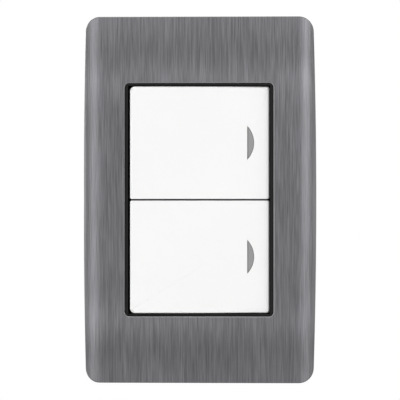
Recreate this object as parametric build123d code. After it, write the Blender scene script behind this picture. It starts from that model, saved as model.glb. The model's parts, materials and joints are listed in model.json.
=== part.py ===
from build123d import *

import math
import os

# A double light switch for a flush wall box. A dark brushed metal plate with bowed, rolled long
# sides is bonded to a black cover frame, whose lip frames two wide white rockers. The cover snaps
# over a mounting frame that two screws hold to the wall box, and two snap-in switch modules hang
# in that frame. Each rocker tips about an upright axis: its marked right side goes in for on.
#
# Everything is drawn lying on its back: x to the right, y up the wall, z out of the wall, with
# the wall at z = 0 and the centre of the plate at x = y = 0. The last step stands it up, so that
# the front looks along -Y, +Z is up and +Y goes into the wall. All sizes are in millimetres.

# Plate
plate_height = 118.0
plate_mid_width = 75.4
plate_side_bow = 0.95
plate_depth = 9.0
plate_corner_radius = 4.5
sheet_thickness = 1.0
shoulder_radius = 7.0
window_corner_radius = 1.5
window_bevel = 0.25

# Cover frame behind the plate
cover_wall = 1.5
cover_foot_height = 0.9
cover_foot_inset = 0.2
skin_clearance = 0.1
lip_drop = 0.2
lip_side_wall = 1.0
lip_end_wall = 0.65
lip_clearance = 0.1
lip_bottom_gap = 0.12
rib_thickness = 1.0
rib_depth = 2.0
hook_width = 7.0
hook_thickness = 1.3
hook_catch = 0.9
hook_catch_height = 0.95
hook_spread = 62.0

# Mounting frame
frame_side_inset = 6.7
frame_end_inset = 5.0
frame_thickness = 2.0
frame_corner_radius = 5.0
frame_rim_width = 1.2
frame_rim_height = 1.2
frame_ledge = 1.0
box_screw_spacing = 83.5
slot_width = 4.6
slot_length = 9.0
slot_boss_width = 2.2
slot_boss_height = 0.5

# Box screws
box_screw_radius = 2.0
box_screw_neck_radius = 1.75
box_screw_length = 25.0
box_screw_head_radius = 3.8
box_screw_head_height = 2.4
box_screw_head_gap = 0.05

# Rockers
rocker_width = 44.8
rocker_gap = 0.5
rocker_side_gap = 0.5
rocker_end_gap = 0.35
rocker_deck_gap = 0.33
rocker_rise = 0.3
rocker_wall = 1.4
rocker_top = 1.7
rocker_edge_bevel = 0.3
rocker_big_corner = 1.5
rocker_small_corner = 0.6
rocker_swing = 7.0

# Mark on each rocker
mark_length = 10.9
mark_width = 2.2
mark_from_centre = 15.3
mark_recess = 0.15
mark_seam = 0.05
mark_flange = 1.0
mark_flange_thickness = 0.8

# Rocker arm, its pivot and its spring plunger
pivot_height = 5.0
pivot_radius = 1.5
pivot_clearance = 0.05
arm_hub_length = 12.4
arm_tube_width = 5.2
arm_hub_below_pivot = 2.4
arm_platform_width = 11.0
arm_platform_thickness = 1.7
arm_tube_reach = 10.2
arm_web_thickness = 1.2
arm_web_reach = 8.0
arm_hook_width = 5.0
arm_hook_thickness = 1.2
arm_hook_catch = 0.6
plunger_width = 2.9
plunger_clearance = 0.1
plunger_reach = 13.0
plunger_body = 3.3
plunger_nose_width = 1.0
plunger_nose_length = 1.5
spring_room_below_pivot = 0.6
spring_wire = 0.4
spring_outer_radius = 1.4
spring_coils = 5
spring_bends_per_coil = 8

# Contact blade and contact tips
blade_ratio = -2.0
blade_thickness = 0.8
blade_width = 5.0
blade_half_length = 9.2
blade_tail_width = 8.4
blade_tail_length = 2.6
blade_plunger_gap = 0.05
tail_stop_from_knife = 8.4
tail_stop_length = 1.5
knife_radius = 0.4
knife_clearance = 0.05
knife_bite = 0.3
tip_width = 3.0
tip_height = 0.9
tip_crown_radius = 5.0
tip_from_knife = 7.6
contact_gap_closed = 0.05

# Terminals
strip_thickness = 0.8
strip_width = 4.8
fork_width = 8.4
fork_gap = 5.4
fork_rise = 1.1
cage_from_centre = 10.2
cage_length = 5.6
cage_width = 7.2
cage_depth = 6.4
cage_screw_wall = 1.0
wire_radius = 1.5
wire_entry_radius = 1.9
clamp_plate_thickness = 0.7
clamp_plate_clearance = 0.2
terminal_screw_radius = 1.75
terminal_screw_recess = 0.3
screw_access_clearance = 0.2

# Switch module housings
deck_side_margin = 1.3
module_gap = 0.2
deck_thickness = 1.4
base_side_inset = 3.7
base_end_inset = 1.75
base_wall = 1.5
base_floor = 1.5
base_corner = 1.5
tower_height = 19.0
tower_wall = 1.4
tower_back = 2.0
core_height = 3.0
strip_rail = 0.9
strip_rail_height = 1.2
fork_post_length = 3.0
fork_post_width = 1.8
fork_post_bite = 0.6
opening_clearance = 0.2
spigot_wall = 1.0
spigot_depth = 1.6
fit_gap = 0.1
cheek_thickness = 2.4
cheek_width = 6.4
cheek_above_pivot = 2.0
cheek_side_gap = 0.3
cheek_slot_width = 2.5
cheek_flare = 0.6
cheek_chamfer = 0.8
arm_slot_width = 8.4
nib_spacing = 21.0
nib_width = 5.0
nib_height = 2.3
nib_flat = 0.5
nib_reach = 0.9
tongue_length = 11.0
tongue_cut = 0.8
snap_spacing = 18.0
snap_width = 5.0
snap_thickness = 1.0
snap_catch = 1.0
snap_window_height = 2.2
snap_window_depth = 4.0

# Worked out from the sizes above: the two modules fill the room between the box screws
screw_room = box_screw_head_radius + box_screw_head_gap + frame_rim_width + fit_gap
module_pitch = box_screw_spacing / 2 - screw_room + module_gap / 2
rocker_height = module_pitch - rocker_gap
deck_width = rocker_width + 2 * deck_side_margin
deck_height = module_pitch - module_gap
base_width = deck_width - 2 * base_side_inset
base_height = deck_height - 2 * base_end_inset
frame_width = plate_mid_width - 2 * frame_side_inset
frame_height = plate_height - 2 * frame_end_inset
rocker_half_swing = rocker_swing / 2
bow_radius = (plate_height**2 / 4 + plate_side_bow**2) / (2 * plate_side_bow)
lip_inner_width = rocker_width + 2 * rocker_side_gap
lip_inner_height = 2 * module_pitch - rocker_gap + 2 * rocker_end_gap
window_width = lip_inner_width + 2 * (lip_side_wall + lip_clearance)
window_height = lip_inner_height + 2 * (lip_end_wall + lip_clearance)
lip_top = plate_depth - lip_drop
cover_top = plate_depth - sheet_thickness
deck_low = frame_thickness
deck_top = deck_low + deck_thickness
rocker_face = plate_depth + rocker_rise
rocker_ceiling = rocker_face - rocker_top
rocker_dip = rocker_width / 2 * math.sin(math.radians(rocker_half_swing))
rocker_skirt_low = deck_top + rocker_dip + rocker_deck_gap
platform_low = rocker_ceiling - arm_platform_thickness
arm_half_hub = arm_hub_length / 2
cheek_inside = arm_half_hub + cheek_side_gap
arm_half_length = cheek_inside + cheek_thickness
tube_low = pivot_height - arm_tube_reach
plunger_low = pivot_height - plunger_reach
plunger_seat = plunger_low + plunger_nose_length + plunger_body
spring_high = pivot_height - spring_room_below_pivot
blade_top = plunger_low - blade_plunger_gap
blade_low = blade_top - blade_thickness
knife_top = blade_low + knife_bite
knife_axis = knife_top - knife_radius
blade_half_swing = abs(blade_ratio) * rocker_half_swing
base_inner_width = base_width - 2 * base_wall
base_inner_height = base_height - 2 * base_wall


def reach_below_knife(along, below):
    # How far under the knife edge's axis a point of the blade gets when its end is down
    angle = math.radians(blade_half_swing)
    return along * math.sin(angle) + below * math.cos(angle)


tip_reach = reach_below_knife(tip_from_knife, tip_height - (blade_low - knife_axis))
tail_reach = reach_below_knife(tail_stop_from_knife, knife_axis - blade_low)
fixed_tip_top = knife_axis - tip_reach - contact_gap_closed
tail_stop_top = knife_axis - tail_reach - contact_gap_closed
chamber_floor = fixed_tip_top - tip_height - strip_thickness
strip_top = chamber_floor + strip_thickness
base_back = chamber_floor - base_floor
cage_low = strip_top - cage_depth
cage_centre = cage_from_centre + cage_length / 2
wire_from_centre = cage_from_centre + strip_thickness + wire_radius
clamp_from_centre = wire_from_centre + wire_radius
screw_tip = clamp_from_centre + clamp_plate_thickness
cage_end = cage_from_centre + cage_length
terminal_screw_axis = (chamber_floor + cage_low) / 2
tower_back_inside = cage_low - fit_gap
tower_low = tower_back_inside - tower_back


def block(width, height, low, high, x=0, y=0, radius=0):
    # A block from z = low to z = high, centred on x, y, with rounded upright corners
    outline = RectangleRounded(width, height, radius) if radius else Rectangle(width, height)
    return Pos(x, y, low) * extrude(outline, high - low)


def rod(radius, low, high, x=0, y=0):
    return Pos(x, y, low) * extrude(Circle(radius), high - low)


def rod_along_x(radius, start, end, y=0, z=0):
    return Pos(start, y, z) * (Rot(0, 90, 0) * extrude(Circle(radius), end - start))


def rod_along_y(radius, start, end, x=0, z=0):
    return Pos(x, start, z) * (Rot(-90, 0, 0) * extrude(Circle(radius), end - start))


def prism_along_x(points, start, end):
    # The outline's points are pairs of y and z
    outline = Plane.YZ * make_face(Polyline(points, close=True))
    return Pos(start, 0, 0) * extrude(outline, end - start)


def prism_along_y(points, start, end):
    # The outline's points are pairs of x and z
    outline = Plane.XZ * make_face(Polyline(points, close=True))
    return Pos(0, end, 0) * extrude(outline, end - start)


def bowed_outline(mid_width, height, corner_radius=0):
    # A rectangle whose long sides are arcs of one radius
    swell = bow_radius - math.sqrt(bow_radius**2 - height**2 / 4)
    half_mid, half_height = mid_width / 2, height / 2
    half_end = half_mid - swell
    right = ThreePointArc((half_end, -half_height), (half_mid, 0), (half_end, half_height))
    top = Line((half_end, half_height), (-half_end, half_height))
    left = ThreePointArc((-half_end, half_height), (-half_mid, 0), (-half_end, -half_height))
    bottom = Line((-half_end, -half_height), (half_end, -half_height))
    outline = make_face([right, top, left, bottom])
    return fillet(outline.vertices(), corner_radius) if corner_radius else outline


def shouldered_block(mid_width, height, top, shoulder, corner_radius=0, soften=fillet):
    # A straight bar whose two long front edges are rolled over, or bevelled, cut to a bowed outline
    bar = block(mid_width, height, 0, top)
    front = bar.faces().sort_by(Axis.Z)[-1]
    bar = soften(front.edges().filter_by(Axis.Y), shoulder)
    return bar & extrude(bowed_outline(mid_width, height, corner_radius), top)


def face_plate():
    # Its ends are open, so the hollow runs past them
    plate = shouldered_block(
        plate_mid_width, plate_height, plate_depth, shoulder_radius, plate_corner_radius)
    inner_width = plate_mid_width - 2 * sheet_thickness
    past_ends = plate_height + 2 * cover_wall
    inner_shoulder = shoulder_radius - sheet_thickness
    plate -= shouldered_block(inner_width, past_ends, cover_top, inner_shoulder)
    plate -= block(window_width, window_height, 0, plate_depth, radius=window_corner_radius)
    plate -= block(plate_mid_width, plate_height, 0, cover_foot_height)
    face = plate.faces().filter_by(Axis.Z).sort_by(Axis.Z)[-1]
    return chamfer(face.inner_wires()[0].edges(), window_bevel)


def cover_hook(side, y):
    # A springy hook that reaches round the edge of the mounting frame and catches behind it
    arm_x = frame_width / 2 + fit_gap + hook_thickness / 2
    arm = block(hook_thickness, hook_width, fit_gap, cover_top - cover_wall, side * arm_x, y)
    catch_x = frame_width / 2 + fit_gap - hook_catch / 2
    catch = block(hook_catch, hook_width, fit_gap, hook_catch_height, side * catch_x, y)
    back_edges = catch.edges().filter_by(Axis.Y).group_by(Axis.Z)[0].sort_by(Axis.X)
    lead = back_edges[0] if side > 0 else back_edges[-1]
    return arm + chamfer(lead, hook_catch_height / 2)


def cover_frame():
    outer_width = plate_mid_width - 2 * (sheet_thickness + skin_clearance)
    outer_height = plate_height - 2 * skin_clearance
    bevel = shoulder_radius - sheet_thickness
    corner = plate_corner_radius - sheet_thickness
    frame = shouldered_block(outer_width, outer_height, cover_top, bevel, corner, chamfer)
    foot_width = plate_mid_width - 2 * cover_foot_inset
    foot_outline = bowed_outline(foot_width, outer_height, plate_corner_radius - cover_foot_inset)
    frame += extrude(foot_outline, cover_foot_height)
    hollow_width = outer_width - 2 * cover_wall
    hollow_height = outer_height - 2 * cover_wall
    ceiling = cover_top - cover_wall
    hollow_bevel = bevel - cover_wall * (2 - math.sqrt(2))
    hollow = shouldered_block(hollow_width, hollow_height, ceiling, hollow_bevel, soften=chamfer)
    frame -= hollow

    # The lip stands in the plate's window and shields the sides of the rockers
    lip_width = window_width - 2 * lip_clearance
    lip_height = window_height - 2 * lip_clearance
    lip_corner = window_corner_radius - lip_clearance
    frame += block(lip_width, lip_height, deck_top + lip_bottom_gap, lip_top, radius=lip_corner)

    # Ribs tie the lip to the side walls and to the end walls
    rib_low = ceiling - rib_depth
    side_room = (hollow_width - lip_width) / 2
    end_room = (hollow_height - lip_height) / 2
    for side in (-1, 1):
        for y in (-module_pitch / 2, 0, module_pitch / 2):
            x = side * (lip_width + side_room) / 2
            frame += block(side_room, rib_thickness, rib_low, ceiling, x, y) & hollow
        for x in (-lip_width / 3, lip_width / 3):
            y = side * (lip_height + end_room) / 2
            frame += block(rib_thickness, end_room, rib_low, ceiling, x, y)
        for y in (-hook_spread / 2, hook_spread / 2):
            frame += cover_hook(side, y)
    return frame - block(lip_inner_width, lip_inner_height, 0, plate_depth)


def mounting_frame():
    frame = block(frame_width, frame_height, 0, frame_thickness, radius=frame_corner_radius)
    rim_top = frame_thickness + frame_rim_height
    pocket_width = deck_width + 2 * fit_gap
    pocket_height = module_pitch + deck_height + 2 * fit_gap
    rim_width = pocket_width + 2 * frame_rim_width
    rim_height = pocket_height + 2 * frame_rim_width
    frame += block(rim_width, rim_height, frame_thickness, rim_top)
    boss_width = slot_length + 2 * slot_boss_width
    boss_height = slot_width + 2 * slot_boss_width
    boss_top = frame_thickness + slot_boss_height
    slot = SlotOverall(slot_length, slot_width)
    opening_width = base_width + 2 * opening_clearance
    opening_height = base_height + 2 * opening_clearance
    for end in (-1, 1):
        slot_y = end * box_screw_spacing / 2
        frame += block(boss_width, boss_height, frame_thickness, boss_top, y=slot_y)
        frame -= Pos(0, slot_y, 0) * extrude(slot, rim_top)
        frame -= block(opening_width, opening_height, 0, rim_top, y=end * module_pitch / 2)
        for y in (-hook_spread / 2, hook_spread / 2):
            notch_x = end * (frame_width - frame_ledge) / 2
            frame -= block(frame_ledge, hook_width + 2 * fit_gap, 0, hook_catch_height, notch_x, y)
    return frame - block(pocket_width, pocket_height, frame_thickness, rim_top)


def box_screws():
    # Two screws that hold the mounting frame to the wall box, plain where they pass through its slots
    seat = frame_thickness + slot_boss_height
    screw = rod(box_screw_head_radius, seat, seat + box_screw_head_height)
    screw += rod(box_screw_neck_radius, 0, seat)
    screw += rod(box_screw_radius, seat - box_screw_length, 0)
    return [Pos(0, end * box_screw_spacing / 2, 0) * screw for end in (-1, 1)]


def rocker_outline(outer_end):
    # The corners towards the other rocker are sharp, and the outer ones are rounded
    outline = Rectangle(rocker_width, rocker_height)
    for x_side, radius in ((-1, rocker_big_corner), (1, rocker_small_corner)):
        corners = outline.vertices().sort_by(lambda v: v.X * x_side + v.Y * outer_end)
        outline = fillet(corners[-1], radius)
    return outline


def mark_outline(seam=0):
    # A half lens whose straight side faces the middle of the rocker
    tip_y = mark_length / 2
    chord = mark_from_centre
    arc = ThreePointArc((chord, -tip_y), (chord + mark_width, 0), (chord, tip_y))
    outline = make_face([arc, Line((chord, tip_y), (chord, -tip_y))])
    return offset(outline, -seam, kind=Kind.INTERSECTION) if seam else outline


def rocker_cap(outer_end):
    height = rocker_face - rocker_skirt_low
    cap = Pos(0, 0, rocker_skirt_low) * extrude(rocker_outline(outer_end), height)
    cap = chamfer(cap.faces().sort_by(Axis.Z)[-1].edges(), rocker_edge_bevel)
    inner_width = rocker_width - 2 * rocker_wall
    inner_height = rocker_height - 2 * rocker_wall
    cap -= block(inner_width, inner_height, rocker_skirt_low, rocker_ceiling)
    rib_low = rocker_ceiling - rib_depth
    for side in (-1, 1):
        rib_y = side * (arm_half_length + rib_thickness)
        cap += block(inner_width, rib_thickness, rib_low, rocker_ceiling, y=rib_y)
        rib_x = side * (arm_platform_width / 2 + arm_hook_thickness + rib_thickness)
        cap += block(rib_thickness, inner_height, rib_low, rocker_ceiling, x=rib_x)
        # A springy hook on each side grips the platform of the rocker arm
        hook_in = side * (arm_platform_width / 2)
        hook_out = hook_in + side * arm_hook_thickness
        hook_low = platform_low - arm_hook_thickness
        hook = [
            (hook_in, rocker_ceiling),
            (hook_in, platform_low),
            (hook_in - side * arm_hook_catch, platform_low),
            (hook_in, hook_low),
            (hook_out, hook_low),
            (hook_out, rocker_ceiling),
        ]
        cap += prism_along_y(hook, -arm_hook_width / 2, arm_hook_width / 2)
    return cap - Pos(0, 0, rib_low) * extrude(mark_outline(), rocker_face - rib_low)


def rocker_mark():
    # A grey insert let into the face of the rocker, with a flange behind the face
    shank_height = rocker_top - mark_recess
    shank = Pos(0, 0, rocker_ceiling) * extrude(mark_outline(mark_seam), shank_height)
    flange_low = rocker_ceiling - mark_flange_thickness
    flange_width = mark_width + 2 * mark_flange
    flange_length = mark_length + 2 * mark_flange
    centre_x = mark_from_centre + mark_width / 2
    return shank + block(flange_width, flange_length, flange_low, rocker_ceiling, x=centre_x)


def rocker_arm():
    # The platform holds the rocker, the trunnions pivot, and the tube carries the spring plunger
    arm = block(arm_platform_width, arm_hub_length, platform_low, rocker_ceiling)
    hub_low = pivot_height - arm_hub_below_pivot
    arm += block(arm_tube_width, arm_hub_length, hub_low, platform_low)
    arm += rod_along_y(pivot_radius, -arm_half_length, arm_half_length, z=pivot_height)
    arm += block(arm_tube_width, arm_tube_width, tube_low, hub_low)
    web_low = pivot_height - arm_web_reach
    web = [
        (-arm_half_hub, hub_low),
        (-arm_tube_width / 2, web_low),
        (arm_tube_width / 2, web_low),
        (arm_half_hub, hub_low),
    ]
    arm += prism_along_x(web, -arm_web_thickness / 2, arm_web_thickness / 2)
    bore_width = plunger_width + 2 * plunger_clearance
    return arm - block(bore_width, bore_width, tube_low, spring_high)


def plunger():
    # A square pin, so that its blunt chisel nose stays across the blade
    nose_top = plunger_low + plunger_nose_length
    half_width = plunger_width / 2
    profile = [
        (-plunger_nose_width / 2, plunger_low),
        (plunger_nose_width / 2, plunger_low),
        (half_width, nose_top),
        (half_width, plunger_seat),
        (-half_width, plunger_seat),
        (-half_width, nose_top),
    ]
    return prism_along_y(profile, -half_width, half_width)


def plunger_spring():
    # A helix of short straight bends; its ends are ground flat and stand square on their seats
    length = spring_high - plunger_seat
    mean_radius = spring_outer_radius - spring_wire / 2
    bends = spring_coils * spring_bends_per_coil
    points = []
    for bend in range(bends + 1):
        angle = 2 * math.pi * bend / spring_bends_per_coil
        rise = length * bend / bends
        points.append((mean_radius * math.cos(angle), mean_radius * math.sin(angle), rise))
    path = Polyline(points)
    wire = Plane(origin=path @ 0, x_dir=(1, 0, 0), z_dir=path % 0) * Rectangle(spring_wire, spring_wire)
    coil = sweep(wire, path, transition=Transition.RIGHT)
    return Pos(0, 0, plunger_seat) * (coil & rod(spring_outer_radius + spring_wire, 0, length))


def contact_tip():
    # A silver pad with a crowned face towards +z, standing on z = 0
    pad = block(tip_width, tip_width, 0, tip_height)
    return pad & rod_along_y(tip_crown_radius, -tip_width, tip_width, z=tip_height - tip_crown_radius)


def moving_tip():
    return Pos(-tip_from_knife, 0, blade_low) * Rot(180, 0, 0) * contact_tip()


def fixed_tip():
    return Pos(-tip_from_knife, 0, strip_top) * contact_tip()


def contact_blade():
    # The blade rocks on the knife edge, and wings on its tail meet two stops
    blade = block(2 * blade_half_length, blade_width, blade_low, blade_top)
    tail_x = blade_half_length - blade_tail_length / 2
    blade += block(blade_tail_length, blade_tail_width, blade_low, blade_top, x=tail_x)
    half_width = blade_width / 2
    return blade - rod_along_y(knife_radius + knife_clearance, -half_width, half_width, z=knife_axis)


def clamp_cage(side):
    # A folded cage, open towards the back for the wire and tapped for the clamp screw
    cage_x = side * cage_centre
    cage = block(cage_length, cage_width, cage_low, strip_top, cage_x)
    room = cage_length - strip_thickness - cage_screw_wall
    room_x = side * (cage_from_centre + strip_thickness + room / 2)
    cage -= block(room, cage_width - 2 * strip_thickness, cage_low, chamber_floor, room_x)
    hole_start = min(side * screw_tip, side * cage_end)
    hole_end = max(side * screw_tip, side * cage_end)
    return cage - rod_along_x(terminal_screw_radius, hole_start, hole_end, z=terminal_screw_axis)


def load_terminal():
    inner_end = tip_from_knife - strip_width / 2
    length = cage_from_centre - inner_end
    centre_x = -(cage_from_centre + inner_end) / 2
    return block(length, strip_width, chamber_floor, strip_top, x=centre_x) + clamp_cage(-1)


def common_terminal():
    # The strip's inner end is turned up into the knife edge, with a prong on each side of the blade
    length = cage_from_centre + knife_radius
    strip = block(length, strip_width, chamber_floor, strip_top, x=length / 2 - knife_radius)
    half_width = fork_width / 2
    fork = block(2 * knife_radius, fork_width, chamber_floor, knife_axis)
    fork += rod_along_y(knife_radius, -half_width, half_width, z=knife_axis)
    prong_width = (fork_width - fork_gap) / 2
    for side in (-1, 1):
        prong_y = side * (fork_gap + prong_width) / 2
        fork += block(2 * knife_radius, prong_width, knife_axis, knife_top + fork_rise, y=prong_y)
    return strip + fork + clamp_cage(1)


def clamp_plates():
    # The plates that the terminal screws press onto the wires
    room = cage_width - 2 * strip_thickness - 2 * clamp_plate_clearance
    low = cage_low + clamp_plate_clearance
    high = chamber_floor - clamp_plate_clearance
    centre = clamp_from_centre + clamp_plate_thickness / 2
    return [block(clamp_plate_thickness, room, low, high, x=side * centre) for side in (-1, 1)]


def terminal_screws():
    # Two headless screws that are driven from the sides of the module
    end = base_width / 2 - terminal_screw_recess
    screw = rod_along_x(terminal_screw_radius, screw_tip, end, z=terminal_screw_axis)
    return [screw, Rot(0, 0, 180) * screw]


def bearing_cheek(side):
    # A cheek with a snap-in hole for one trunnion of the rocker arm
    top = pivot_height + cheek_above_pivot
    centre_y = side * (cheek_inside + cheek_thickness / 2)
    cheek = block(cheek_width, cheek_thickness, deck_low, top, y=centre_y)
    cheek = chamfer(cheek.edges().filter_by(Axis.Y).group_by(Axis.Z)[-1], cheek_chamfer)
    start = centre_y - cheek_thickness / 2
    end = centre_y + cheek_thickness / 2
    cheek -= rod_along_y(pivot_radius + pivot_clearance, start, end, z=pivot_height)
    mouth = [
        (-cheek_slot_width / 2, pivot_height),
        (-cheek_slot_width / 2, top - cheek_flare),
        (-cheek_slot_width / 2 - cheek_flare, top),
        (cheek_slot_width / 2 + cheek_flare, top),
        (cheek_slot_width / 2, top - cheek_flare),
        (cheek_slot_width / 2, pivot_height),
    ]
    return cheek - prism_along_y(mouth, start, end)


def snap_arm(side, y):
    # An arm of the module's cover that catches in a window of the base
    arm_x = base_inner_width / 2 - fit_gap - snap_thickness / 2
    arm_low = deck_low - snap_window_depth - snap_window_height + fit_gap
    arm = block(snap_thickness, snap_width, arm_low, deck_low, side * arm_x, y)
    catch_in = side * (base_inner_width / 2 - fit_gap)
    catch_out = catch_in + side * snap_catch
    catch_top = deck_low - snap_window_depth
    catch = [(catch_in, catch_top), (catch_out, catch_top), (catch_in, arm_low)]
    return arm + prism_along_y(catch, y - snap_width / 2, y + snap_width / 2)


def module_cover():
    cover = block(deck_width, deck_height, deck_low, deck_top)
    spigot_width = base_inner_width - 2 * fit_gap
    spigot_height = base_inner_height - 2 * fit_gap
    spigot = block(spigot_width, spigot_height, deck_low - spigot_depth, deck_low)
    inside_width = spigot_width - 2 * spigot_wall
    inside_height = spigot_height - 2 * spigot_wall
    spigot -= block(inside_width, inside_height, deck_low - spigot_depth, deck_low)
    tongue_room = nib_width + 2 * (tongue_cut + fit_gap)
    for x in (-nib_spacing / 2, nib_spacing / 2):
        spigot -= block(tongue_room, spigot_height, deck_low - spigot_depth, deck_low, x=x)
    cover += spigot
    for side in (-1, 1):
        cover += bearing_cheek(side)
        for y in (-snap_spacing / 2, snap_spacing / 2):
            cover += snap_arm(side, y)
    cover -= block(arm_slot_width, 2 * cheek_inside, deck_low, deck_top)
    return cover


def terminal_pocket(side):
    # The room for one clamp cage, its screw and its wire, to be cut from the base
    length = cage_length + 2 * fit_gap
    width = cage_width + 2 * fit_gap
    pocket = block(length, width, tower_back_inside, chamber_floor, side * cage_centre)
    window_half = terminal_screw_radius + screw_access_clearance
    window_low = terminal_screw_axis - window_half
    window_high = terminal_screw_axis + window_half
    window_length = base_width / 2 - cage_end
    window_x = side * (base_width / 2 + cage_end) / 2
    pocket += block(window_length, 2 * window_half, window_low, window_high, window_x)
    return pocket + rod(wire_entry_radius, tower_low, tower_back_inside, x=side * wire_from_centre)


def latch_nib(x, side):
    # A nib that catches behind the mounting frame
    wall_y = side * base_height / 2
    nib = [
        (wall_y, 0),
        (wall_y + side * nib_reach, 0),
        (wall_y + side * nib_reach, -nib_flat),
        (wall_y, -nib_height),
    ]
    return prism_along_x(nib, x - nib_width / 2, x + nib_width / 2)


def module_base():
    base = block(base_width, base_height, base_back, deck_low)
    base = chamfer(base.edges().filter_by(Axis.Z), base_corner)
    base += block(base_width, tower_height, tower_low, base_back)
    base -= block(base_inner_width, base_inner_height, chamber_floor, deck_low)
    well_width = 2 * (cage_from_centre - fit_gap - tower_wall)
    base -= block(well_width, tower_height - 2 * tower_wall, tower_low, base_back)

    # Rails, posts and stops on the chamber's floor hold the terminals and limit the blade
    rail_start = knife_radius + fork_post_length / 2
    rail_length = cage_from_centre - rail_start
    rail_top = chamber_floor + strip_rail_height
    post_top = knife_axis - fork_post_bite
    for side in (-1, 1):
        rail_y = side * (strip_width / 2 + fit_gap + strip_rail / 2)
        rail_x = (cage_from_centre + rail_start) / 2
        for x in (-rail_x, rail_x):
            base += block(rail_length, strip_rail, chamber_floor, rail_top, x, rail_y)
        post_y = side * (fork_width / 2 + fit_gap - fork_post_bite + fork_post_width / 2)
        post = block(fork_post_length, fork_post_width, chamber_floor, post_top, y=post_y)
        groove = 2 * (knife_radius + fit_gap)
        post -= block(groove, fork_width + 2 * fit_gap, chamber_floor, post_top)
        base += post
        stop_x = tail_stop_from_knife - tail_stop_length / 2
        stop_start = strip_width / 2 + fit_gap
        stop_width = blade_tail_width / 2 - stop_start
        stop_y = side * (stop_start + stop_width / 2)
        base += block(tail_stop_length, stop_width, chamber_floor, tail_stop_top, stop_x, stop_y)

    core_width = base_width / 2 - cage_from_centre - tower_wall
    core_x = cage_from_centre + core_width / 2
    core_y = (tower_height - core_height) / 2 - tower_wall
    window_high = deck_low - snap_window_depth
    window_low = window_high - snap_window_height
    for side in (-1, 1):
        base -= terminal_pocket(side)
        for y in (-core_y, core_y):
            base -= block(core_width, core_height, tower_low, base_back, side * core_x, y)
        for y in (-snap_spacing / 2, snap_spacing / 2):
            window_x = side * (base_width - base_wall) / 2
            base -= block(base_wall, snap_width + 2 * fit_gap, window_low, window_high, window_x, y)
        # Two springy tongues in this long wall carry the nibs that hold the module in its frame
        wall_y = side * (base_height - base_wall) / 2
        for x in (-nib_spacing / 2, nib_spacing / 2):
            base += latch_nib(x, side)
            for edge in (-1, 1):
                cut_x = x + edge * (nib_width + tongue_cut) / 2
                base -= block(tongue_cut, base_wall, deck_low - tongue_length, deck_low, cut_x, wall_y)
    return base


def tipped(piece, angle, axis_height):
    # Turns a piece about the upright axis at this height above the wall
    return Pos(0, 0, axis_height) * Rot(0, angle, 0) * Pos(0, 0, -axis_height) * piece


def with_rocker(piece):
    return tipped(piece, rocker_half_swing, pivot_height)


def with_blade(piece):
    return tipped(piece, -blade_half_swing, knife_axis)


def export_piece(name, solids, end=0):
    # Stands the piece up, moves it to its module and writes its file
    place = Rot(90, 0, 0) * Pos(0, end * module_pitch / 2, 0)
    solids = solids if isinstance(solids, list) else [solids]
    placed = [place * solid for solid in solids]
    export_step(placed[0] if len(placed) == 1 else Compound(placed), f"parts/{name}.step")


os.makedirs("parts", exist_ok=True)

export_piece("face_plate", face_plate())
export_piece("cover_frame", cover_frame())
export_piece("mounting_frame", mounting_frame())
export_piece("box_screws", box_screws())

# Both modules are alike, and they rest switched on, with the marked side of the rocker in
module_pieces = {
    "module_base": module_base(),
    "module_cover": module_cover(),
    "rocker_mark": with_rocker(rocker_mark()),
    "rocker_arm": with_rocker(rocker_arm()),
    "plunger": with_rocker(plunger()),
    "plunger_spring": with_rocker(plunger_spring()),
    "contact_blade": with_blade(contact_blade()),
    "moving_tip": with_blade(moving_tip()),
    "fixed_tip": fixed_tip(),
    "load_terminal": load_terminal(),
    "common_terminal": common_terminal(),
    "clamp_plates": clamp_plates(),
    "terminal_screws": terminal_screws(),
}
for level, end in (("upper", 1), ("lower", -1)):
    export_piece(f"{level}_rocker_cap", with_rocker(rocker_cap(end)), end)
    for name, piece in module_pieces.items():
        export_piece(f"{level}_{name}", piece, end)
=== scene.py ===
import bpy
import bmesh
import json
import math
from mathutils import Matrix, Vector


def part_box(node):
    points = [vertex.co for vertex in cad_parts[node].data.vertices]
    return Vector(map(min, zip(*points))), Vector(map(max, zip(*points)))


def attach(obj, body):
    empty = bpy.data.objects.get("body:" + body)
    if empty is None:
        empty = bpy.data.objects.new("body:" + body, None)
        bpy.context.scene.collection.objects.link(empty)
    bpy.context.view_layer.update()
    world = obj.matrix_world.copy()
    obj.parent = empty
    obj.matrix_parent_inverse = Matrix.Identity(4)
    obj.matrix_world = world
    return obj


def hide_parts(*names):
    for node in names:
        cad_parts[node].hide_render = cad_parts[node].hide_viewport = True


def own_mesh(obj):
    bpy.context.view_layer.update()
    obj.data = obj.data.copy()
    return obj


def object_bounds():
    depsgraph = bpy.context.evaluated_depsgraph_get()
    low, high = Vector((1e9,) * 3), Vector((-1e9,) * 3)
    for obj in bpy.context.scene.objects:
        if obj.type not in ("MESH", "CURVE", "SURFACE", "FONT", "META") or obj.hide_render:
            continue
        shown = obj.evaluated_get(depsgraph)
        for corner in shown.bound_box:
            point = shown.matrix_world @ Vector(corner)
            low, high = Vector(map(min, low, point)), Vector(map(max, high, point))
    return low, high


# A double light switch: a dark brushed wall plate round two wide white rockers, both tipped on.
# Lengths in the dictionaries are millimetres. Pieces are built in metres, in the frame's place.
mm = 0.001
levels = {"upper": 1, "lower": -1}  # the two modules, each with its side of the middle along Z
sameSpot = 0.01 * mm  # what differs by less lies in one line or plane
cornerAngle = 35  # degrees between faces, above which an edge is shaded sharp and bevelled

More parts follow.
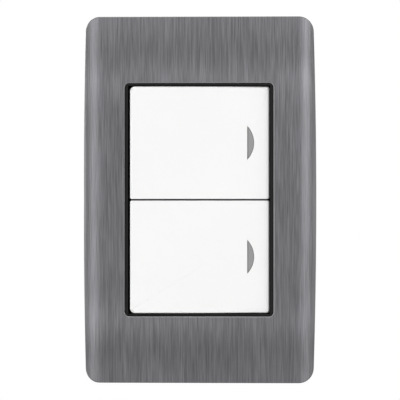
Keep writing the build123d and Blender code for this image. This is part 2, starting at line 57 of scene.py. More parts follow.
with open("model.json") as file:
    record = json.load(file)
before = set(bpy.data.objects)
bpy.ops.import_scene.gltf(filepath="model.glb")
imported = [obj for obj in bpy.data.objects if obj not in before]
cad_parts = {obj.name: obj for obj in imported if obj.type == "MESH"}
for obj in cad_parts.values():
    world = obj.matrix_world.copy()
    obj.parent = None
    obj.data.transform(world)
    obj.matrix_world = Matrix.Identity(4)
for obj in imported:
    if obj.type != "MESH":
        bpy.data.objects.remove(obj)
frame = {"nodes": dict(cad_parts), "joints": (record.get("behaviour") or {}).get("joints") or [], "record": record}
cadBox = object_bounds()
record, joints = frame["record"], frame["joints"]
slotOf = {part["node"]: part["material_slot"] for part in record["subparts"]}
bodyOf = {node: body for body, nodes in record["behaviour"]["bodies"].items() for node in nodes}
pivotOf = {joint["name"]: Vector(joint["pos_m"]) for joint in joints if joint["type"] == "hinge"}
print("Frame loaded with", len(frame["nodes"]), "nodes")


def camelName(snakeName):
    words = snakeName.split("_")
    return words[0] + "".join(word.capitalize() for word in words[1:])


def turn(degrees, axis, size=4):
    return Matrix.Rotation(math.radians(degrees), size, axis)


# Nodes of a material or of the world

def newMaterial(name, colour, roughness, metallic=0.0):
    material = bpy.data.materials.new(name)
    material.use_nodes = True
    inputs = shaderInputs(material)
    inputs["Base Color"].default_value = (*colour, 1)
    inputs["Roughness"].default_value = roughness
    inputs["Metallic"].default_value = metallic
    return material


def shaderInputs(material):
    return material.node_tree.nodes["Principled BSDF"].inputs


def addNode(owner, kind, **values):
    node = owner.node_tree.nodes.new(kind)
    for name, value in values.items():
        setattr(node, name, value)
    return node


def join(owner, start, end):
    owner.node_tree.links.new(start, end)


def combine(owner, operation, first, second):
    result = addNode(owner, "ShaderNodeMath", operation=operation)
    join(owner, first, result.inputs[0])
    join(owner, second, result.inputs[1])
    return result.outputs[0]


def addRange(owner, value, low, high, fromLow=0.3, fromHigh=0.7):
    # Spreads a value from low to high; noise hardly leaves 0.3 to 0.7
    spread = addNode(owner, "ShaderNodeMapRange")
    spread.inputs["From Min"].default_value = fromLow
    spread.inputs["From Max"].default_value = fromHigh
    spread.inputs["To Min"].default_value = low
    spread.inputs["To Max"].default_value = high
    join(owner, value, spread.inputs["Value"])
    return spread.outputs["Result"]


def addNoise(material, waves, stretch=(1, 1, 1), detail=3):
    # Noise in the piece's own coordinates, in waves a metre, and drawn out where stretch is small
    place = addNode(material, "ShaderNodeTexCoord")
    mapping = addNode(material, "ShaderNodeMapping")
    mapping.inputs["Scale"].default_value = stretch
    noise = addNode(material, "ShaderNodeTexNoise")
    noise.inputs["Scale"].default_value = waves
    noise.inputs["Detail"].default_value = detail
    join(material, place.outputs["Object"], mapping.inputs["Vector"])
    join(material, mapping.outputs["Vector"], noise.inputs["Vector"])
    return noise.outputs["Fac"]


def setColour(material, colour, factor):
    # The colour, lightened or darkened by a factor near one
    shade = addNode(material, "ShaderNodeMix", data_type="RGBA", blend_type="MULTIPLY")
    firstColour, secondColour, mixedColour = shade.inputs[6], shade.inputs[7], shade.outputs[2]
    shade.inputs["Factor"].default_value = 1
    firstColour.default_value = (*colour, 1)
    join(material, factor, secondColour)
    join(material, mixedColour, shaderInputs(material)["Base Color"])


def setRoughness(material, noise, low, high):
    join(material, addRange(material, noise, low, high), shaderInputs(material)["Roughness"])


def setBump(material, noise, strength, depth):
    bump = addNode(material, "ShaderNodeBump")
    bump.inputs["Strength"].default_value = strength
    bump.inputs["Distance"].default_value = depth * mm
    join(material, noise, bump.inputs["Height"])
    join(material, bump.outputs["Normal"], shaderInputs(material)["Normal"])


# Materials

brushed = {
    "colour": (0.129, 0.1275, 0.135),
    "roughness": (0.4, 0.5),
    "layers": (  # the finest streaks first, and clouds last
        {"waves": 3600, "stretch": (1, 1, 0.03), "detail": 3, "change": 0.25},
        {"waves": 1700, "stretch": (1, 1, 0.03), "detail": 3, "change": 0.07},
        {"waves": 160, "stretch": (1, 1, 0.25), "detail": 3, "change": 0.04},
        {"waves": 30, "stretch": (1, 1, 0.6), "detail": 2, "change": 0.05},
    ),
    # Painted reflection: the sheet's tone at heights above and below the middle
    "toneByHeight": ((0, 1.08), (28, 1.08), (38, 1.26), (48.5, 1.0), (59, 1.14)),
    "bumpStrength": 0.3,
    "bumpDepth": 0.02,
}
cutEdge = {
    "colour": (0.26, 0.26, 0.265),
    "roughness": 0.34,
    "glossier": 0.04,
    "duller": 0.06,
    "markWaves": 1800,
    "shade": (0.9, 1.08),
}
plastics = {
    "black_plastic": {
        "colour": (0.011, 0.011, 0.0115), "roughness": 0.45, "specular": 0.12,
        "grainWaves": 3200, "change": 0.12, "bumpDepth": 0.02},
    "white_plastic": {
        "colour": (0.93, 0.93, 0.926), "roughness": 0.32, "specular": 0.5,
        "grainWaves": 2200, "change": 0.012, "bumpDepth": 0.004},
    "grey_plastic": {
        "colour": (0.305, 0.305, 0.305), "roughness": 0.38, "specular": 0.5,
        "grainWaves": 2600, "change": 0.05, "bumpDepth": 0.01},
    "pale_plastic": {
        "colour": (0.7, 0.7, 0.675), "roughness": 0.45, "specular": 0.5,
        "grainWaves": 1800, "change": 0.05, "bumpDepth": 0.02},
}
grain = {
    "detail": 2,
    "patchSize": 60,  # how many times wider than the grain its patches of colour are
    "roughness": 0.05,
    "bumpStrength": 0.4,
}
metals = {
    "plated_steel": {"colour": (0.62, 0.61, 0.57), "roughness": 0.3, "change": 0.14},
    "spring_steel": {"colour": (0.5, 0.5, 0.5), "roughness": 0.26, "change": 0.1},
    "copper": {"colour": (0.74, 0.4, 0.26), "roughness": 0.3, "change": 0.2},
    "brass": {"colour": (0.76, 0.57, 0.26), "roughness": 0.3, "change": 0.18},
    "silver_tip": {"colour": (0.82, 0.8, 0.77), "roughness": 0.22, "change": 0.1},
}
stamping = {
    "marks": {"waves": 2400, "stretch": (0.15, 1, 1)},
    "tarnish": {"waves": 320, "detail": 4},
    "glossier": 0.08,
    "duller": 0.1,
    "bumpStrength": 0.25,
    "bumpDepth": 0.02,
}


def paintReflectionBands(material):
    # Painted reflection: the sheet is painted a touch brighter at its ends and above and below the window
    tones = brushed["toneByHeight"]
    top = tones[-1][0]
    brightest = 2  # a ramp's colours end at 1, so its tones are shares of this
    place = addNode(material, "ShaderNodeTexCoord")
    parts = addNode(material, "ShaderNodeSeparateXYZ")
    height = addNode(material, "ShaderNodeMath", operation="ABSOLUTE")
    ramp = addNode(material, "ShaderNodeValToRGB")
    join(material, place.outputs["Object"], parts.inputs["Vector"])
    join(material, parts.outputs["Z"], height.inputs[0])
    join(material, addRange(material, height.outputs[0], 0, 1, 0, top * mm), ramp.inputs["Fac"])
    ramp.color_ramp.interpolation = "EASE"
    stops = ramp.color_ramp.elements
    for stopHeight, _ in tones[1:-1]:
        stops.new(stopHeight / top)
    for stop, (_, tone) in zip(stops, tones):
        share = tone / brightest
        stop.color = (share, share, share, 1)
    return addRange(material, ramp.outputs["Color"], 0, brightest, 0, 1)


def brushedMetal():
    # Fine upright streaks in three sizes and slow clouds of tone over the plate, on painted reflection bands by
    # height
    low, high = brushed["roughness"]
    material = newMaterial("brushedMetal", brushed["colour"], (low + high) / 2, metallic=1.0)
    noises = [addNoise(material, layer["waves"], layer["stretch"], layer["detail"])
              for layer in brushed["layers"]]
    # painted reflection: brighter bands at the ends and above and below the window
    shade = paintReflectionBands(material)
    for noise, layer in zip(noises, brushed["layers"]):
        tone = addRange(material, noise, 1 - layer["change"], 1 + layer["change"])
        shade = combine(material, "MULTIPLY", shade, tone)
    setColour(material, brushed["colour"], shade)
    setRoughness(material, noises[0], low, high)
    setBump(material, noises[0], brushed["bumpStrength"], brushed["bumpDepth"])
    return material


def brightEdge():
    # Where the sheet was cut, its edge is bare metal with fine marks along it
    roughness = cutEdge["roughness"]
    material = newMaterial("brightEdge", cutEdge["colour"], roughness, metallic=1.0)
    marks = addNoise(material, cutEdge["markWaves"])
    setColour(material, cutEdge["colour"], addRange(material, marks, *cutEdge["shade"]))
    setRoughness(material, marks, roughness - cutEdge["glossier"], roughness + cutEdge["duller"])
    return material


def mouldedPlastic(name, look):
    # Plastic with a fine spark-eroded grain and a slight unevenness of colour
    roughness, change = look["roughness"], look["change"]
    material = newMaterial(name, look["colour"], roughness)
    fine = addNoise(material, look["grainWaves"], detail=grain["detail"])
    slow = addNoise(material, look["grainWaves"] / grain["patchSize"], detail=grain["detail"])
    setColour(material, look["colour"], addRange(material, slow, 1 - change, 1 + change / 3))
    setRoughness(material, fine, roughness - grain["roughness"], roughness + grain["roughness"])
    setBump(material, fine, grain["bumpStrength"], look["bumpDepth"])
    shaderInputs(material)["Specular IOR Level"].default_value = look["specular"]
    return material


def stampedMetal(name, look):
    # Sheet or wire with faint drawing marks and slight tarnish
    roughness, change = look["roughness"], look["change"]
    material = newMaterial(name, look["colour"], roughness, metallic=1.0)
    marks = addNoise(material, **stamping["marks"])
    tarnish = addNoise(material, **stamping["tarnish"])
    setColour(material, look["colour"], addRange(material, tarnish, 1 - change, 1 + change / 2))
    setRoughness(material, marks, roughness - stamping["glossier"], roughness + stamping["duller"])
    setBump(material, marks, stamping["bumpStrength"], stamping["bumpDepth"])
    return material


finishes = {"brushed_plate": brushedMetal()}
finishes.update({slot: mouldedPlastic(camelName(slot), look) for slot, look in plastics.items()})
finishes.update({slot: stampedMetal(camelName(slot), look) for slot, look in metals.items()})
print("Finishes made:", ", ".join(finishes))


# Shared steps for new pieces

nodeCopy = {
    "mergeDistance": 0.002,
    "flatAngle": 0.2,
}


def addPiece(shape, nodeName, sharpAngle=cornerAngle):
    # Turns a bmesh into the finished piece that stands for a node of the frame
    name, slot = camelName(nodeName), slotOf[nodeName]
    bmesh.ops.recalc_face_normals(shape, faces=shape.faces)
    mesh = bpy.data.meshes.new(name)
    shape.to_mesh(mesh)
    shape.free()
    mesh.shade_smooth()
    mesh.set_sharp_from_angle(angle=math.radians(sharpAngle))
    mesh.materials.append(finishes[slot])
    piece = bpy.data.objects.new(name, mesh)
    bpy.context.scene.collection.objects.link(piece)
    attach(piece, bodyOf[nodeName])
    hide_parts(nodeName)
    return piece


def softenEdges(piece, width, steps=2, limit="ANGLE"):
    bevel = piece.modifiers.new("softEdges", "BEVEL")
    bevel.width = width * mm
    bevel.segments = steps
    bevel.limit_method = limit
    bevel.angle_limit = math.radians(cornerAngle)
    bevel.use_clamp_overlap = False
    piece.modifiers.new("evenNormals", "WEIGHTED_NORMAL").keep_sharp = True


def partsOf(shape):
    return shape.verts[:] + shape.edges[:] + shape.faces[:]


def vertsIn(made):
    return [item for item in made["geom"] if isinstance(item, bmesh.types.BMVert)]


def addTwin(shape):
    # Doubles the whole shape and returns the twin's corners
    return vertsIn(bmesh.ops.duplicate(shape, geom=partsOf(shape)))


def cutAcross(shape, place, direction, clearBeyond=False, closeness=0.0):
    return bmesh.ops.bisect_plane(
        shape, geom=partsOf(shape), dist=closeness, plane_co=place, plane_no=direction,
        clear_outer=clearBeyond)


def bevelLines(shape, lines, width, steps):
    return bmesh.ops.bevel(
        shape, geom=lines, offset=width * mm, offset_type="OFFSET", segments=steps,
        affect="EDGES", profile=0.5, material=-1)


def copyOfNode(nodeName):
    # The node's own triangles, merged and joined up into flat faces
    shape = bmesh.new()
    shape.from_mesh(frame["nodes"][nodeName].data)
    bmesh.ops.remove_doubles(shape, verts=shape.verts, dist=nodeCopy["mergeDistance"] * mm)
    bmesh.ops.dissolve_limit(
        shape, angle_limit=math.radians(nodeCopy["flatAngle"]),
        verts=shape.verts, edges=shape.edges)
    bmesh.ops.connect_verts_concave(shape, faces=shape.faces)
    return shape


# Face plate

plate = {
    "shoulder": 7.0,  # radius of the rolled sides
    "sheet": 1.0,
    "bow": 0.95,  # how far the sides come in at the ends
    "cornerRadius": 4.5,
    "windowWidth": 48.0,
    "windowHeight": 75.1,
    "windowRadius": 1.5,
    "windowEdge": 0.24,
    "outerEdge": 0.28,
    "edgeSteps": 3,
    "cornerSteps": 10,
    "rollSteps": 16,
    "heightSteps": 24,
    "flatMargin": 0.5,  # from the last cut of the flat front to the roll
    "wallMargin": 0.1,  # before the inner wall, with no cuts of the roll
    "wallLine": 0.02,  # from the last cut to the inner wall
    "windowMargin": 0.1,  # round the window, for finding its lines
    "frontFacing": 0.05,  # how much a face of the front looks forward at the least
    "wallFacing": 0.01,  # how much a face of a wall does at the most
    "lineAngle": 20,
}


def addRoundedLoop(shape, halfWidth, halfHeight, radius):
    # A rectangle in the X-Z plane with rounded corners, left as edges only
    size = Matrix.Diagonal((halfWidth, 1, halfHeight, 1))
    made = bmesh.ops.create_grid(
        shape, x_segments=1, y_segments=1, size=1, matrix=size @ turn(90, "X"))
    bmesh.ops.bevel(
        shape, geom=made["verts"], offset=radius, offset_type="OFFSET",
        segments=plate["cornerSteps"], affect="VERTICES", profile=0.5, material=-1)
    bmesh.ops.delete(shape, geom=shape.faces[:], context="FACES_ONLY")


def flatPlate(halfWidth, halfHeight):
    # The sheet with its window, as one layer that is cut level in many places for the bow
    window = [plate["windowWidth"] * mm / 2, plate["windowHeight"] * mm / 2]
    shape = bmesh.new()
    addRoundedLoop(shape, halfWidth, halfHeight, plate["cornerRadius"] * mm)
    addRoundedLoop(shape, *window, plate["windowRadius"] * mm)
    bmesh.ops.bridge_loops(shape, edges=shape.edges[:])
    for step in range(1, plate["heightSteps"]):
        height = halfHeight * (2 * step / plate["heightSteps"] - 1)
        cutAcross(shape, (0, 0, height), (0, 0, 1))
    return shape


def bowSides(shape, halfHeight, rollStart):
    # Both sides lie on long arcs, so the outline narrows towards its ends
    bow = plate["bow"] * mm
    radius = (halfHeight**2 + bow**2) / (2 * bow)
    for vert in shape.verts:
        if abs(vert.co.x) > rollStart:
            inward = radius - math.sqrt(radius**2 - vert.co.z**2)
            vert.co.x -= math.copysign(inward, vert.co.x)


def cutForRoll(shape, rollStart, innerWall):
    # Upright cuts at even angles of the roll, and two at the inner wall
    radius, steps = plate["shoulder"] * mm, plate["rollSteps"]
    cuts = [rollStart + radius * math.sin(math.pi / 2 * step / steps) for step in range(steps)]
    cuts = [cut for cut in cuts if cut < innerWall - plate["wallMargin"] * mm]
    flatCut = rollStart - plate["flatMargin"] * mm
    for across in [flatCut] + cuts + [innerWall - plate["wallLine"] * mm, innerWall]:
        cutAcross(shape, (across, 0, 0), (1, 0, 0))
        cutAcross(shape, (-across, 0, 0), (1, 0, 0))


def rollDepth(reach, rollStart, radius):
    # How far behind its front the rolled sheet lies at a distance from the middle line
    into = min(max(reach - rollStart, 0), radius)
    return radius - math.sqrt(radius**2 - into**2)


def foldIntoSheet(shape, front, rim, rollStart, innerWall):
    # Two layers: the front one follows the outer roll, the back one the roll inside it and the rim
    radius, sheet = plate["shoulder"] * mm, plate["sheet"] * mm
    back = shape.verts[:]
    made = bmesh.ops.extrude_face_region(shape, geom=shape.faces[:], use_keep_orig=True)
    for vert in vertsIn(made):
        vert.co.y = front + rollDepth(abs(vert.co.x), rollStart, radius)
    for vert in back:
        reach = abs(vert.co.x)
        if reach > innerWall - sameSpot:
            vert.co.y = rim
        else:
            vert.co.y = front + sheet + rollDepth(reach, rollStart, radius - sheet)
    bmesh.ops.recalc_face_normals(shape, faces=shape.faces)


def isFrontLine(line):
    # Whether the front meets a wall there, of the window or of the outside
    fronts = [face for face in line.link_faces if face.normal.y < -plate["frontFacing"]]
    walls = [face for face in line.link_faces if abs(face.normal.y) < plate["wallFacing"]]
    sharp = line.calc_face_angle(0) > math.radians(plate["lineAngle"])
    return len(fronts) == 1 and len(walls) == 1 and sharp


def isWindowLine(line):
    halfWidth = (plate["windowWidth"] / 2 + plate["windowMargin"]) * mm
    halfHeight = (plate["windowHeight"] / 2 + plate["windowMargin"]) * mm
    return all(abs(vert.co.x) < halfWidth and abs(vert.co.z) < halfHeight for vert in line.verts)


def facePlate():
    # The window's lines get a bright bevel at once, the outer ones a bevel weight for the modifier
    low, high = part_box("face_plate")
    halfWidth, halfHeight = high.x, high.z
    rollStart = halfWidth - plate["shoulder"] * mm
    innerWall = halfWidth - plate["sheet"] * mm
    shape = flatPlate(halfWidth, halfHeight)
    bevelWeight = shape.edges.layers.float.new("bevel_weight_edge")
    bowSides(shape, halfHeight, rollStart)
    cutForRoll(shape, rollStart, innerWall)
    foldIntoSheet(shape, low.y, high.y, rollStart, innerWall)
    windowLines = []
    for line in filter(isFrontLine, shape.edges):
        if isWindowLine(line):
            windowLines.append(line)
        else:
            line[bevelWeight] = 1
    made = bevelLines(shape, windowLines, plate["windowEdge"], plate["edgeSteps"])
    for face in made["faces"]:
        face.material_index = 1
    piece = addPiece(shape, "face_plate")
    piece.data.materials.append(brightEdge())
    softenEdges(piece, plate["outerEdge"], plate["edgeSteps"], "WEIGHT")


facePlate()
print("Face plate made")


# Screws

boxScrew = {
    "headRadius": 3.8,
    "headHeight": 2.4,
    "crown": ((0.9, 0), (0.25, 0.5), (0, 1.1)),  # in from the head's side and down from its top
    "neckRadius": 1.75,
    "neckOverlap": 0.2,
    "coreRadius": 1.6,
    "threadRadius": 2.0,
    "threadLength": 22.5,
    "pitch": 0.7,
    "slotWidth": 0.9,
    "slotDepth": 1.2,
    "slotReach": 2.9,  # the slot takes the faces of the top within this radius
    "steps": 32,
}
terminalScrew = {
    "headLength": 1.1,
    "headChamfer": 0.15,
    "headOverlap": 0.1,
    "coreRadius": 1.4,
    "threadRadius": 1.75,
    "pitch": 0.6,
    "slotWidth": 0.6,
    "slotDepth": 0.9,
    "slotReach": 1.75,
    "steps": 28,
}
threadProfile = ((0, 0), (0, 0.2), (1, 0.55), (1, 0.65), (0, 1))  # shares of its depth and pitch
screwSharpAngle = 40
screwMerge = 0.001 * mm


def openLine(shape, points):
    # Corners and edges through points of a radius and a height
    verts = [shape.verts.new((radius * mm, 0, height * mm)) for radius, height in points]
    return verts + [shape.edges.new(pair) for pair in zip(verts, verts[1:])]


def spinProfile(shape, points, steps):
    # Turns the points round the Z axis into a closed body
    bmesh.ops.spin(
        shape, geom=openLine(shape, points), cent=(0, 0, 0), axis=(0, 0, 1), angle=math.tau,
        steps=steps, use_merge=True, use_duplicate=False)
    bmesh.ops.remove_doubles(shape, verts=shape.verts, dist=screwMerge)


def cutSlot(shape, screw, top):
    # Presses a straight driver slot into the top face of a screw
    halfWidth = screw["slotWidth"] / 2 * mm
    for across in (-halfWidth, halfWidth):
        cutAcross(shape, (across, 0, 0), (1, 0, 0))
    floor = []
    for face in shape.faces:
        middle = face.calc_center_median()
        atTop = abs(middle.z - top * mm) < sameSpot
        if atTop and abs(middle.x) < halfWidth and middle.xy.length < screw["slotReach"] * mm:
            floor.append(face)
    made = bmesh.ops.extrude_face_region(shape, geom=floor)
    bmesh.ops.translate(shape, verts=vertsIn(made), vec=(0, 0, -screw["slotDepth"] * mm))
    bmesh.ops.delete(shape, geom=floor, context="FACES")


def windThread(shape, screw, low, high):
    # One ridge, wound up the Z axis past both ends, cut level there and closed
    core, pitch, steps = screw["coreRadius"], screw["pitch"], screw["steps"]
    depth = screw["threadRadius"] - core
    rounds = math.ceil((high - low) / pitch) + 2
    thread = bmesh.new()
    points = [(core + depth * out, low - pitch + pitch * up) for out, up in threadProfile]
    bmesh.ops.spin(
        thread, geom=openLine(thread, points), cent=(0, 0, 0), axis=(0, 0, 1),
        dvec=(0, 0, pitch * mm / steps), angle=math.tau * rounds, steps=steps * rounds,
        use_merge=False, use_duplicate=False)
    bmesh.ops.remove_doubles(thread, verts=thread.verts, dist=screwMerge)
    for height, direction in ((low, -1), (high, 1)):
        made = cutAcross(thread, (0, 0, height * mm), (0, 0, direction),
                         clearBeyond=True, closeness=screwMerge / 2)
        rim = [item for item in made["geom_cut"] if isinstance(item, bmesh.types.BMEdge)]
        bmesh.ops.edgeloop_fill(thread, edges=rim)
    bmesh.ops.recalc_face_normals(thread, faces=thread.faces)
    mesh = bpy.data.meshes.new("thread")
    thread.to_mesh(mesh)
    thread.free()
    shape.from_mesh(mesh)
    bpy.data.meshes.remove(mesh)


def makeScrew(screw, points, threadLow, threadHigh):
    # The points start on the axis, at the middle of the head's top
    top = points[0][1]
    shape = bmesh.new()
    spinProfile(shape, points, screw["steps"])
    cutSlot(shape, screw, top)
    windThread(shape, screw, threadLow, threadHigh)
    return shape


def boxScrews():
    # They look along -Y, one at each end of the mounting frame
    low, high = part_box("box_screws")
    top, side = boxScrew["headHeight"], boxScrew["headRadius"]
    tip = top - (high.y - low.y) / mm
    neckEnd = tip + boxScrew["threadLength"]
    neck, neckLow = boxScrew["neckRadius"], neckEnd - boxScrew["neckOverlap"]
    crown = [(side - inward, top - down) for inward, down in boxScrew["crown"]]
    points = [(0, top), *crown, (side, 0), (neck, 0), (neck, neckLow), (0, neckLow)]
    shape = makeScrew(boxScrew, points, tip, neckEnd)
    bmesh.ops.transform(shape, matrix=turn(90, "X"), verts=shape.verts)
    bmesh.ops.translate(shape, verts=shape.verts, vec=(0, low.y + top * mm, 0))
    fromMiddle = (high.z - low.z) / 2 - side * mm
    twinVerts = addTwin(shape)
    bmesh.ops.translate(shape, verts=shape.verts, vec=(0, 0, fromMiddle))
    bmesh.ops.translate(shape, verts=twinVerts, vec=(0, 0, -2 * fromMiddle))
    addPiece(shape, "box_screws", screwSharpAngle)


def terminalScrews(level):
    # They look out along +X and -X, each with its tip towards the middle
    nodeName = f"{level}_terminal_screws"
    low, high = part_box(nodeName)
    tip = min(abs(vert.co.x) for vert in frame["nodes"][nodeName].data.vertices) / mm
    top = high.x / mm
    headLow = top - terminalScrew["headLength"]
    coreLow = headLow - terminalScrew["headOverlap"]
    core, side = terminalScrew["coreRadius"], terminalScrew["threadRadius"]
    chamfer = terminalScrew["headChamfer"]
    points = [(0, top), (side - chamfer, top), (side, top - chamfer), (side, headLow + chamfer),
              (core, coreLow), (0, coreLow)]
    shape = makeScrew(terminalScrew, points, tip, headLow)
    bmesh.ops.transform(shape, matrix=turn(90, "Y"), verts=shape.verts)
    bmesh.ops.rotate(shape, verts=addTwin(shape), cent=(0, 0, 0), matrix=turn(180, "Z", 3))
    middle = (low + high) / 2
    bmesh.ops.translate(shape, verts=shape.verts, vec=(0, middle.y, middle.z))
    addPiece(shape, nodeName, screwSharpAngle)


boxScrews()
for level in levels:
    terminalScrews(level)
print("Screws made")


# Plunger springs and marks, which lean with the rockers

rocker = {
    "tilt": 3.5,
    "innerCorner": 0.42,
    "cornerSteps": 4,
    "cornerDepth": 0.1,  # a corner's line runs further than this from front to back
}
spring = {
    "wire": 0.4,
    "outerRadius": 1.4,
    "coils": 5,
    "stepsPerCoil": 28,
    "wireSides": 10,
}
mark = {
    "length": 10.9,
    "width": 2.2,
    "gap": 0.01,
    "rim": 0.25,
    "edge": 0.04,
    "steps": 160,
    "flangeMargin": 0.1,  # points this far past the lens are the flange's
    "shankOverlap": 0.05,
}
# Painted shade: a darker grey for the mark's rim, standing for the shadow in the gap round it
gapShadePlastic = {
    "colour": (0.15, 0.15, 0.15), "roughness": 0.4, "specular": 0.5,
    "grainWaves": 2600, "change": 0.05, "bumpDepth": 0.01}
markRim = mouldedPlastic("markRim", gapShadePlastic)


def uprightFrom(level):
    # Undoes the rocker's tilt, with its pivot at the origin
    return turn(-rocker["tilt"], "Z") @ Matrix.Translation(-pivotOf[f"{level}_rocker_tilt"])


def plungerSpring(level):
    # Round wire wound along the arm's tube, which leans with the rocker about its pivot
    nodeName, slide = f"{level}_plunger_spring", f"{level}_plunger_slide"
    pivot = pivotOf[f"{level}_rocker_tilt"]
    lean = turn(rocker["tilt"], "Z") @ turn(90, "X")
    axis = lean @ Vector((0, 0, 1))
    along = [(vert.co - pivot) @ axis for vert in frame["nodes"][nodeName].data.vertices]
    whole = max(along) - min(along)
    wire, steps = spring["wire"] * mm, spring["coils"] * spring["stepsPerCoil"]
    coilRadius = spring["outerRadius"] * mm - wire / 2
    start = Matrix.Translation((coilRadius, 0, min(along) + wire / 2))
    shape = bmesh.new()
    bmesh.ops.create_circle(
        shape, segments=spring["wireSides"], radius=wire / 2, matrix=start @ turn(90, "X"))
    bmesh.ops.spin(
        shape, geom=shape.verts[:] + shape.edges[:], cent=(0, 0, 0), axis=(0, 0, 1),
        dvec=(0, 0, (whole - wire) / steps), angle=math.tau * spring["coils"], steps=steps,
        use_merge=False, use_duplicate=False)
    ends = [edge for edge in shape.edges if edge.is_boundary]
    bmesh.ops.holes_fill(shape, edges=ends, sides=0)
    bmesh.ops.transform(shape, matrix=Matrix.Translation(pivot) @ lean, verts=shape.verts)
    piece = addPiece(shape, nodeName, sharpAngle=180)  # the wire is smooth all over
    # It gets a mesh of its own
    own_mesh(piece)


def halfLens(chord, front):
    # A slice of a large disc with its straight side at the chord, and a rim of the second material, a darker grey
    # painted as the shade of the gap round the mark
    length, width, gap, rim = (mark[name] * mm for name in ("length", "width", "gap", "rim"))
    radius = (length**2 / 4 + width**2) / (2 * width) - gap
    centre = chord + width - gap - radius
    shape = bmesh.new()
    bmesh.ops.create_circle(
        shape, cap_ends=True, segments=mark["steps"], radius=radius,
        matrix=Matrix.Translation((centre, front, 0)) @ turn(90, "X"))
    gapShadeRing = bmesh.ops.inset_region(
        shape, faces=shape.faces[:], thickness=rim, use_boundary=True, use_even_offset=True)
    for face in gapShadeRing["faces"]:
        face.material_index = 1
    cutAcross(shape, (chord + gap, 0, 0), (-1, 0, 0), clearBeyond=True)
    cutAcross(shape, (chord + gap + rim, 0, 0), (-1, 0, 0))
    # the rim along the straight side takes the painted gap shade too
    for face in shape.faces:
        if face.calc_center_median().x < chord + gap + rim:
            face.material_index = 1
    return shape


def rockerMark(level):
    # A half lens of grey plastic, let into its recess, with a shank to the flange behind it, and a rim painted
    # darker as the gap's shade
    nodeName, upright = f"{level}_rocker_mark", uprightFrom(level)
    points = [upright @ vert.co for vert in frame["nodes"][nodeName].data.vertices]
    front = min(point.y for point in points)
    chord = min(point.x for point in points if point.y < front + sameSpot)
    flangeStart = (mark["length"] / 2 + mark["flangeMargin"]) * mm
    flange = [point for point in points if abs(point.z) > flangeStart]
    low = Vector(min(point[axis] for point in flange) for axis in range(3))
    high = Vector(max(point[axis] for point in flange) for axis in range(3))
    shape = halfLens(chord, front)
    made = bmesh.ops.extrude_face_region(shape, geom=shape.faces[:], use_keep_orig=True)
    shank = low.y - front + mark["shankOverlap"] * mm
    bmesh.ops.translate(shape, verts=vertsIn(made), vec=(0, shank, 0))
    size = Matrix.Diagonal((*(high - low), 1))
    bmesh.ops.create_cube(shape, size=1, matrix=Matrix.Translation((low + high) / 2) @ size)
    bmesh.ops.transform(shape, matrix=upright.inverted(), verts=shape.verts)
    piece = addPiece(shape, nodeName)
    piece.data.materials.append(markRim)
    softenEdges(piece, mark["edge"])


for level in levels:
    plungerSpring(level)
    rockerMark(level)
print("Springs and marks made")


# The other mouldings and stampings: the frame's own shapes with softer edges

edgeWidths = {
    "cover_frame": 0.08,
    "mounting_frame": 0.25,
    "rocker_cap": 0.1,
    "rocker_arm": 0.15,
    "module_cover": 0.15,
    "module_base": 0.2,
    "plunger": 0.12,
    "contact_blade": 0.08,
    "moving_tip": 0.2,
    "fixed_tip": 0.2,
    "load_terminal": 0.08,
    "common_terminal": 0.03,
    "clamp_plates": 0.08,
}


def roundInnerCorners(shape, level):
    # The corners towards the other rocker, from the skirt to the face
    upright, inward = uprightFrom(level), -levels[level]
    spots = {vert: upright @ vert.co for vert in shape.verts}
    reach = rocker["innerCorner"] * mm
    nearSide = max(spot.x for spot in spots.values()) - reach
    nearEnd = max(inward * spot.z for spot in spots.values()) - reach
    near = {vert for vert, spot in spots.items()
            if abs(spot.x) > nearSide and inward * spot.z > nearEnd}
    corners = []
    for edge in shape.edges:
        start, end = edge.verts
        runsBack = abs(spots[start].y - spots[end].y) > rocker["cornerDepth"] * mm
        if start in near and end in near and runsBack:
            corners.append(edge)
    bevelLines(shape, corners, rocker["innerCorner"], rocker["cornerSteps"])


for nodeName in sorted(frame["nodes"]):
    level, _, rest = nodeName.partition("_")
    partName = rest if level in levels else nodeName
    if partName in edgeWidths:
        shape = copyOfNode(nodeName)
        if partName == "rocker_cap":
            roundInnerCorners(shape, level)
        softenEdges(addPiece(shape, nodeName), edgeWidths[partName])
print("Mouldings and stampings softened")


# Floor, light and camera

studio = {
    "floorDrop": 22,
    "floorSize": 420,
    "floorColour": (0.86, 0.86, 0.86),
    "floorRoughness": 0.7,
    "floorGlow": 0.36,
    "worldLight": 0.405,
    "cameraDistance": 1000,
    "cameraTurn": 2.6,
    "sensorWidth": 36,
    "nearestSeen": 10,
    "photoScale": 0.322,  # millimetres to a pixel
    "photoPixels": 400,
    "photoCentre": (199.0, 199.8),  # where the middle of the plate is in the photo
}
lamps = {
    "keySoftbox": {"place": (-60, -560, 400), "size": (200, 200), "power": 0.78},
    "leftSoftbox": {"place": (-360, -190, 10), "size": (360, 400), "power": 0.82},
    "rightSoftbox": {"place": (365, -175, 115), "size": (330, 320), "power": 0.86},
    "topSoftbox": {"place": (0, -200, 420), "size": (400, 240), "power": 0.06},
    "backSoftbox": {"place": (-200, 480, 260), "size": (400, 400), "power": 2.4},
}
white = (1, 1, 1, 1)


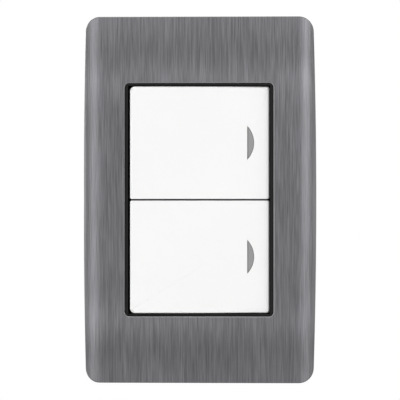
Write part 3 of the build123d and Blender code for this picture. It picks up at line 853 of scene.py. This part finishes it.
def addFloor():
    # It glows a little for the camera alone, so that it is as white as the background
    height = cadBox[0].z - studio["floorDrop"] * mm
    shape = bmesh.new()
    bmesh.ops.create_grid(
        shape, x_segments=2, y_segments=2, size=studio["floorSize"] * mm / 2,
        matrix=Matrix.Translation((0, 0, height)))
    mesh = bpy.data.meshes.new("floor")
    shape.to_mesh(mesh)
    shape.free()
    floor = bpy.data.objects.new("floor", mesh)
    bpy.context.scene.collection.objects.link(floor)
    material = newMaterial("paleFloor", studio["floorColour"], studio["floorRoughness"])
    seen = addNode(material, "ShaderNodeLightPath").outputs["Is Camera Ray"]
    inputs = shaderInputs(material)
    inputs["Emission Color"].default_value = white
    glow = addRange(material, seen, 0, studio["floorGlow"], 0, 1)
    join(material, glow, inputs["Emission Strength"])
    mesh.materials.append(material)


def addLamp(name, place, size, power):
    data = bpy.data.lights.new(name, "AREA")
    data.shape = "RECTANGLE"
    data.size, data.size_y = size[0] * mm, size[1] * mm
    data.energy = power
    lamp = bpy.data.objects.new(name, data)
    lamp.location = Vector(place) * mm
    lamp.rotation_euler = (-lamp.location).to_track_quat("-Z", "Y").to_euler()
    lamp.visible_camera = False
    bpy.context.scene.collection.objects.link(lamp)


def addWorld():
    # White for the camera and in reflections, and a softer level for the light it gives
    world = bpy.data.worlds.new("studio")
    bpy.context.scene.world = world
    world.use_nodes = True
    background = world.node_tree.nodes["Background"].inputs
    background["Color"].default_value = white
    rays = addNode(world, "ShaderNodeLightPath").outputs
    seen = rays["Is Camera Ray"]
    for kind in ("Is Glossy Ray", "Is Transmission Ray"):
        seen = combine(world, "MAXIMUM", seen, rays[kind])
    strength = addRange(world, seen, studio["worldLight"], 1, 0, 1)
    join(world, strength, background["Strength"])


def addCamera():
    # It stands a little to the right of the plate, as the photo's camera did
    low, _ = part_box("face_plate")
    pixels, (centreX, centreY) = studio["photoPixels"], studio["photoCentre"]
    distance, angle = studio["cameraDistance"] * mm, math.radians(studio["cameraTurn"])
    data = bpy.data.cameras.new("camera")
    data.sensor_width = studio["sensorWidth"]
    data.lens = data.sensor_width * distance / (studio["photoScale"] * pixels * mm)
    data.shift_x = (pixels / 2 - centreX) / pixels
    data.shift_y = (centreY - pixels / 2) / pixels
    data.clip_start = studio["nearestSeen"] * mm
    camera = bpy.data.objects.new("camera", data)
    camera.location = (distance * math.sin(angle), low.y - distance * math.cos(angle), 0)
    camera.rotation_euler = (math.radians(90), 0, angle)
    bpy.context.scene.collection.objects.link(camera)
    bpy.context.scene.camera = camera


addFloor()
for name, lamp in lamps.items():
    addLamp(name, **lamp)
addWorld()
addCamera()
bpy.context.scene.view_settings.view_transform = "Standard"
print("Studio set up")
